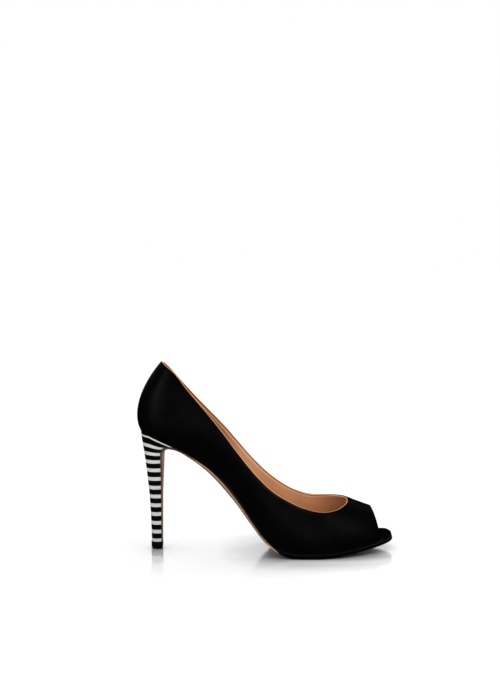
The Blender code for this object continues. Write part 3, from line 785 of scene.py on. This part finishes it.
# Painted shade: how dark the yarn is painted in the grooves between the ribs.
GROOVE_PAINTED_SHADE = 0.62
STRIPE_WHITE = (0.67, 0.70, 0.65, 1.0)
STRIPE_BLACK = (0.002, 0.002, 0.0022, 1.0)
FULL_TURN = 2.0 * math.pi

heel_cover = welded_copy("heel", "heel_cover")
refine(heel_cover, 2, HEEL_EDGE_ROUND)
points = np.empty(len(heel_cover.data.vertices) * 3, dtype=np.float32)
heel_cover.data.vertices.foreach_get("co", points)
points = points.reshape(-1, 3) / MM
ahead = points[:, 0] - HEEL_PIN[0]
aside = points[:, 1] - HEEL_PIN[1]
run = HEEL_PIN_RUN + ahead * math.cos(HEEL_HEADING) + aside * math.sin(HEEL_HEADING)
offside = aside * math.cos(HEEL_HEADING) - ahead * math.sin(HEEL_HEADING)
past_fall = np.clip(run - FALL_FROM, 0.0, None)
seat_drop = (SEAT_FALL + SEAT_CURVE * past_fall) * past_fall
level = points[:, 2].copy()
for _ in range(BEND_ROUNDS):
    bent = np.clip((level - BEND_FROM) / (BEND_TO - BEND_FROM), 0.0, 1.0)
    level = points[:, 2] + bent * seat_drop
keep_values(heel_cover, "stripe", "POINT", (level - LOWEST_WHITE) / STRIPE_STEP)
keep_values(heel_cover, "around", "POINT", np.arctan2(offside, HEEL_PIN_RUN - run) * HEEL_GIRTH_RADIUS)

striped_cloth, tree, shader = new_material("striped_cloth")
stripe = add_kept(tree, "stripe")
around = add_kept(tree, "around")
half_white = add_range(
    tree, stripe, TOP_STRIPE - TOP_STRIPE_SOFT, TOP_STRIPE + TOP_STRIPE_SOFT,
    WHITE_SHARE / 2, TOP_WHITE_SHARE / 2,
)
past_white = add_math(tree, "SUBTRACT", add_math(tree, "PINGPONG", stripe, 0.5), half_white)
white = add_ease(tree, past_white, -STRIPE_SOFT, STRIPE_SOFT, 1.0, 0.0)
rib_turn = add_math(tree, "MULTIPLY", stripe, RIBS_PER_STRIPE * FULL_TURN)
rib = add_math(tree, "MULTIPLY_ADD", add_math(tree, "COSINE", rib_turn), 0.5, 0.5)
twill_turn = add_math(tree, "MULTIPLY_ADD", around, FULL_TURN / TWILL_STEP, rib_turn)
weave = add_math(tree, "MULTIPLY_ADD", add_math(tree, "COSINE", twill_turn), TWILL_HEIGHT, rib)
# Painted shade: the yarn is darker in the grooves between the ribs.
painted_shade = add_range(tree, weave, 0.0, WEAVE_CREST, GROOVE_PAINTED_SHADE, 1.0)
yarn = add_mix(tree, white, STRIPE_BLACK, STRIPE_WHITE)
shaded = add_node(tree, "ShaderNodeMix", data_type="RGBA", blend_type="MULTIPLY")
shaded.inputs["Factor"].default_value = 1.0
tree.links.new(yarn, shaded.inputs[6])
tree.links.new(painted_shade, shaded.inputs[7])
tree.links.new(shaded.outputs[2], shader.inputs["Base Color"])
shader.inputs["Roughness"].default_value = 0.72
shader.inputs["Specular IOR Level"].default_value = 0.25
add_bump(tree, shader, weave, strength=0.5, distance=0.12 * MM)
heel_cover.data.materials.append(striped_cloth)
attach(heel_cover, "root")
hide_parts("heel")


# Top piece: the small block of hard black plastic that the heel stands on. It is moulded with a steel
# dowel, driven up into the stem and trimmed a little wider than it.
TOP_PIECE_ROUND = 0.45 * MM
PLASTIC_BLACK = (0.0015, 0.0015, 0.0016, 1.0)
PLASTIC_RUBBED = (0.004, 0.004, 0.0042, 1.0)

heel_top_block = welded_copy("top_piece", "heel_top_block")
refine(heel_top_block, 2, TOP_PIECE_ROUND, segments=4)
black_plastic, tree, shader = new_material("black_plastic")
grain, mottle = add_grain(tree, cells_per_metre=2600.0, mottle_per_metre=160.0)
tree.links.new(add_mix(tree, mottle, PLASTIC_BLACK, PLASTIC_RUBBED), shader.inputs["Base Color"])
set_gloss(tree, shader, mottle, rough_from=0.45, rough_to=0.6)
add_bump(tree, shader, grain, strength=0.12, distance=0.03 * MM)
heel_top_block.data.materials.append(black_plastic)
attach(heel_top_block, "root")
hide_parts("top_piece")


# Studio floor: a white board, polished where the shoe stands, so that the heel and the sole show in it
# faintly. A painted contact shadow makes it a little darker where something stands close over it.
FLOOR_HALF = 4.0
FLOOR_GAP = 0.2 * MM
FLOOR_WHITE = (0.95, 0.95, 0.95, 1.0)
FLOOR_MATT = 0.9
CONTACT_REACH = 0.04
CONTACT_SAMPLES = 16
POLISH_ROUGH = 0.12
POLISH_SHARE = 0.5
POLISH_HALF = 0.026
POLISH_FADE = 0.026
POLISH_SLANT = (0.45, 0.62)

bpy.ops.object.select_all(action="DESELECT")
bpy.ops.mesh.primitive_plane_add(size=2.0 * FLOOR_HALF, location=(0.0, 0.0, -FLOOR_GAP))
floor = bpy.context.active_object
floor.name = "floor"
bpy.ops.object.transform_apply(location=True, rotation=True, scale=True)
floor.visible_glossy = False
white_floor, tree, shader = new_material("white_floor")
# Painted shadow: the floor's colour darkens where the shoe stands close over it.
painted_contact_shadow = add_node(tree, "ShaderNodeAmbientOcclusion", samples=CONTACT_SAMPLES)
painted_contact_shadow.inputs["Color"].default_value = FLOOR_WHITE
painted_contact_shadow.inputs["Distance"].default_value = CONTACT_REACH
tree.links.new(painted_contact_shadow.outputs["Color"], shader.inputs["Base Color"])
shader.inputs["Roughness"].default_value = FLOOR_MATT
shader.inputs["Specular IOR Level"].default_value = 0.0
polish = add_node(tree, "ShaderNodeBsdfGlossy")
polish.inputs["Color"].default_value = FLOOR_WHITE
polish.inputs["Roughness"].default_value = POLISH_ROUGH
away = add_math(tree, "SUBTRACT", add_math(tree, "ABSOLUTE", add_axes(tree)["Y"]), POLISH_HALF)
beyond = add_math(tree, "MAXIMUM", away, 0.0)
fade = add_math(tree, "EXPONENT", add_math(tree, "DIVIDE", beyond, -POLISH_FADE))
slant = add_node(tree, "ShaderNodeLayerWeight").outputs["Facing"]
low_view = add_ease(tree, slant, *POLISH_SLANT, 0.0, POLISH_SHARE)
polished = add_node(tree, "ShaderNodeMixShader")
tree.links.new(add_math(tree, "MULTIPLY", fade, low_view), polished.inputs["Fac"])
tree.links.new(shader.outputs["BSDF"], polished.inputs[1])
tree.links.new(polish.outputs["BSDF"], polished.inputs[2])
tree.links.new(polished.outputs["Shader"], tree.nodes["Material Output"].inputs["Surface"])
floor.data.materials.append(white_floor)


# Studio light: a white surround, a very broad light from above and behind, soft boxes that lie in the
# leather as dim highlights, fills that give no highlight, and white walls that light the floor alone.
SURROUND_WHITE = (1.0, 1.0, 1.0, 1.0)
SURROUND_SEEN = 1.0
SURROUND_LIGHT = 0.25
SURROUND_GLOSS = 0.004
WALL_COUNT = 4
WALL_AWAY = 4.3
WALL_HIGH = 3.0
WALL_WATTS = 92.0
BACK_STRENGTH = 1.5
BACK_SPREAD = math.radians(75)
BACK_HEADING = (0.0, -0.37, -0.93)
SoftBox = namedtuple("SoftBox", "name place aim width height watts in_gloss")
SOFT_BOXES = (
    SoftBox("left_box", (-0.767, -0.631, 0.542), (-0.088, -0.02, 0.135), 0.6, 0.6, 0.55, True),
    SoftBox("right_box", (0.715, -0.573, 0.557), (0.065, -0.028, 0.027), 0.35, 0.6, 0.28, True),
    SoftBox("front_box", (0.150, -0.993, 0.298), (-0.02, -0.03, 0.09), 0.25, 0.2, 0.12, True),
    SoftBox("side_light", (1.05, -0.15, 0.8), (0.0, -0.02, 0.0), 0.7, 0.7, 5.0, False),
    SoftBox("back_left_box", (-0.75, 0.75, 0.6), (-0.04, 0.0, 0.08), 0.5, 0.5, 0.1, True),
    SoftBox("back_right_box", (0.75, 0.75, 0.6), (0.02, 0.0, 0.06), 0.5, 0.5, 0.1, True),
)
FRONT_FILL = SoftBox("front_fill", (0.0, -1.4, 0.38), (0.0, 0.0, 0.06), 0.9, 0.5, 8.8, False)

studio = bpy.data.worlds.new("studio")
bpy.context.scene.world = studio
studio.use_nodes = True
studio.cycles.sampling_method = "NONE"
tree = studio.node_tree
surround = tree.nodes["Background"]
surround.inputs["Color"].default_value = SURROUND_WHITE
rays = add_node(tree, "ShaderNodeLightPath").outputs
lit = add_range(tree, rays["Is Glossy Ray"], 0.0, 1.0, SURROUND_LIGHT, SURROUND_GLOSS)
seen = add_node(tree, "ShaderNodeMix", data_type="FLOAT")
tree.links.new(rays["Is Camera Ray"], seen.inputs["Factor"])
tree.links.new(lit, seen.inputs[2])
seen.inputs[3].default_value = SURROUND_SEEN
tree.links.new(seen.outputs[0], surround.inputs["Strength"])


def add_soft_box(box):
    """A flat soft light at a place, turned to face a point, and seen or not seen in glossy surfaces."""
    light = bpy.data.lights.new(box.name, "AREA")
    light.shape = "RECTANGLE"
    light.size = box.width
    light.size_y = box.height
    light.energy = box.watts
    lamp = bpy.data.objects.new(box.name, light)
    bpy.context.scene.collection.objects.link(lamp)
    turn = (Vector(box.aim) - Vector(box.place)).to_track_quat("-Z", "Y")
    lamp.matrix_world = Matrix.Translation(box.place) @ turn.to_matrix().to_4x4()
    lamp.visible_glossy = box.in_gloss
    return lamp


for box in SOFT_BOXES:
    add_soft_box(box)
all_but_floor = bpy.data.collections.new("all_but_floor")
all_but_floor.objects.link(floor)
all_but_floor.collection_objects[0].light_linking.link_state = "EXCLUDE"
add_soft_box(FRONT_FILL).light_linking.receiver_collection = all_but_floor
floor_alone = bpy.data.collections.new("floor_alone")
floor_alone.objects.link(floor)
wall_middle = (0.0, 0.0, WALL_HIGH / 2)
for number in range(WALL_COUNT):
    turn = Matrix.Rotation(number * FULL_TURN / WALL_COUNT, 3, "Z")
    place = turn @ Vector((0.0, WALL_AWAY, WALL_HIGH / 2))
    wall = SoftBox("white_wall", place, wall_middle, 2.0 * WALL_AWAY, WALL_HIGH, WALL_WATTS, True)
    add_soft_box(wall).light_linking.receiver_collection = floor_alone
back_light = bpy.data.lights.new("back_light", "SUN")
back_light.energy = BACK_STRENGTH
back_light.angle = BACK_SPREAD
back_lamp = bpy.data.objects.new("back_light", back_light)
bpy.context.scene.collection.objects.link(back_lamp)
back_lamp.rotation_euler = Vector(BACK_HEADING).to_track_quat("-Z", "Y").to_euler()
back_lamp.visible_glossy = False


# Camera: a little over a metre from the shoe, on its outer side and higher than its collar. It looks
# slightly down, with no depth of field.
FRAME_HEIGHT = 690
FOCAL_PIXELS = 1276.0
SENSOR_HEIGHT = 36.0
CAMERA_PLACE = (-0.0137, -1.0989, 0.3089)
CAMERA_DOWN = math.radians(6.66)

photo_camera = bpy.data.cameras.new("photo_camera")
photo_camera.sensor_fit = "VERTICAL"
photo_camera.sensor_height = SENSOR_HEIGHT
photo_camera.lens = FOCAL_PIXELS / FRAME_HEIGHT * SENSOR_HEIGHT
camera = bpy.data.objects.new("photo_camera", photo_camera)
bpy.context.scene.collection.objects.link(camera)
camera.location = CAMERA_PLACE
camera.rotation_euler = (math.radians(90.0) - CAMERA_DOWN, 0.0, 0.0)
bpy.context.scene.camera = camera
bpy.context.scene.view_settings.view_transform = "Standard"
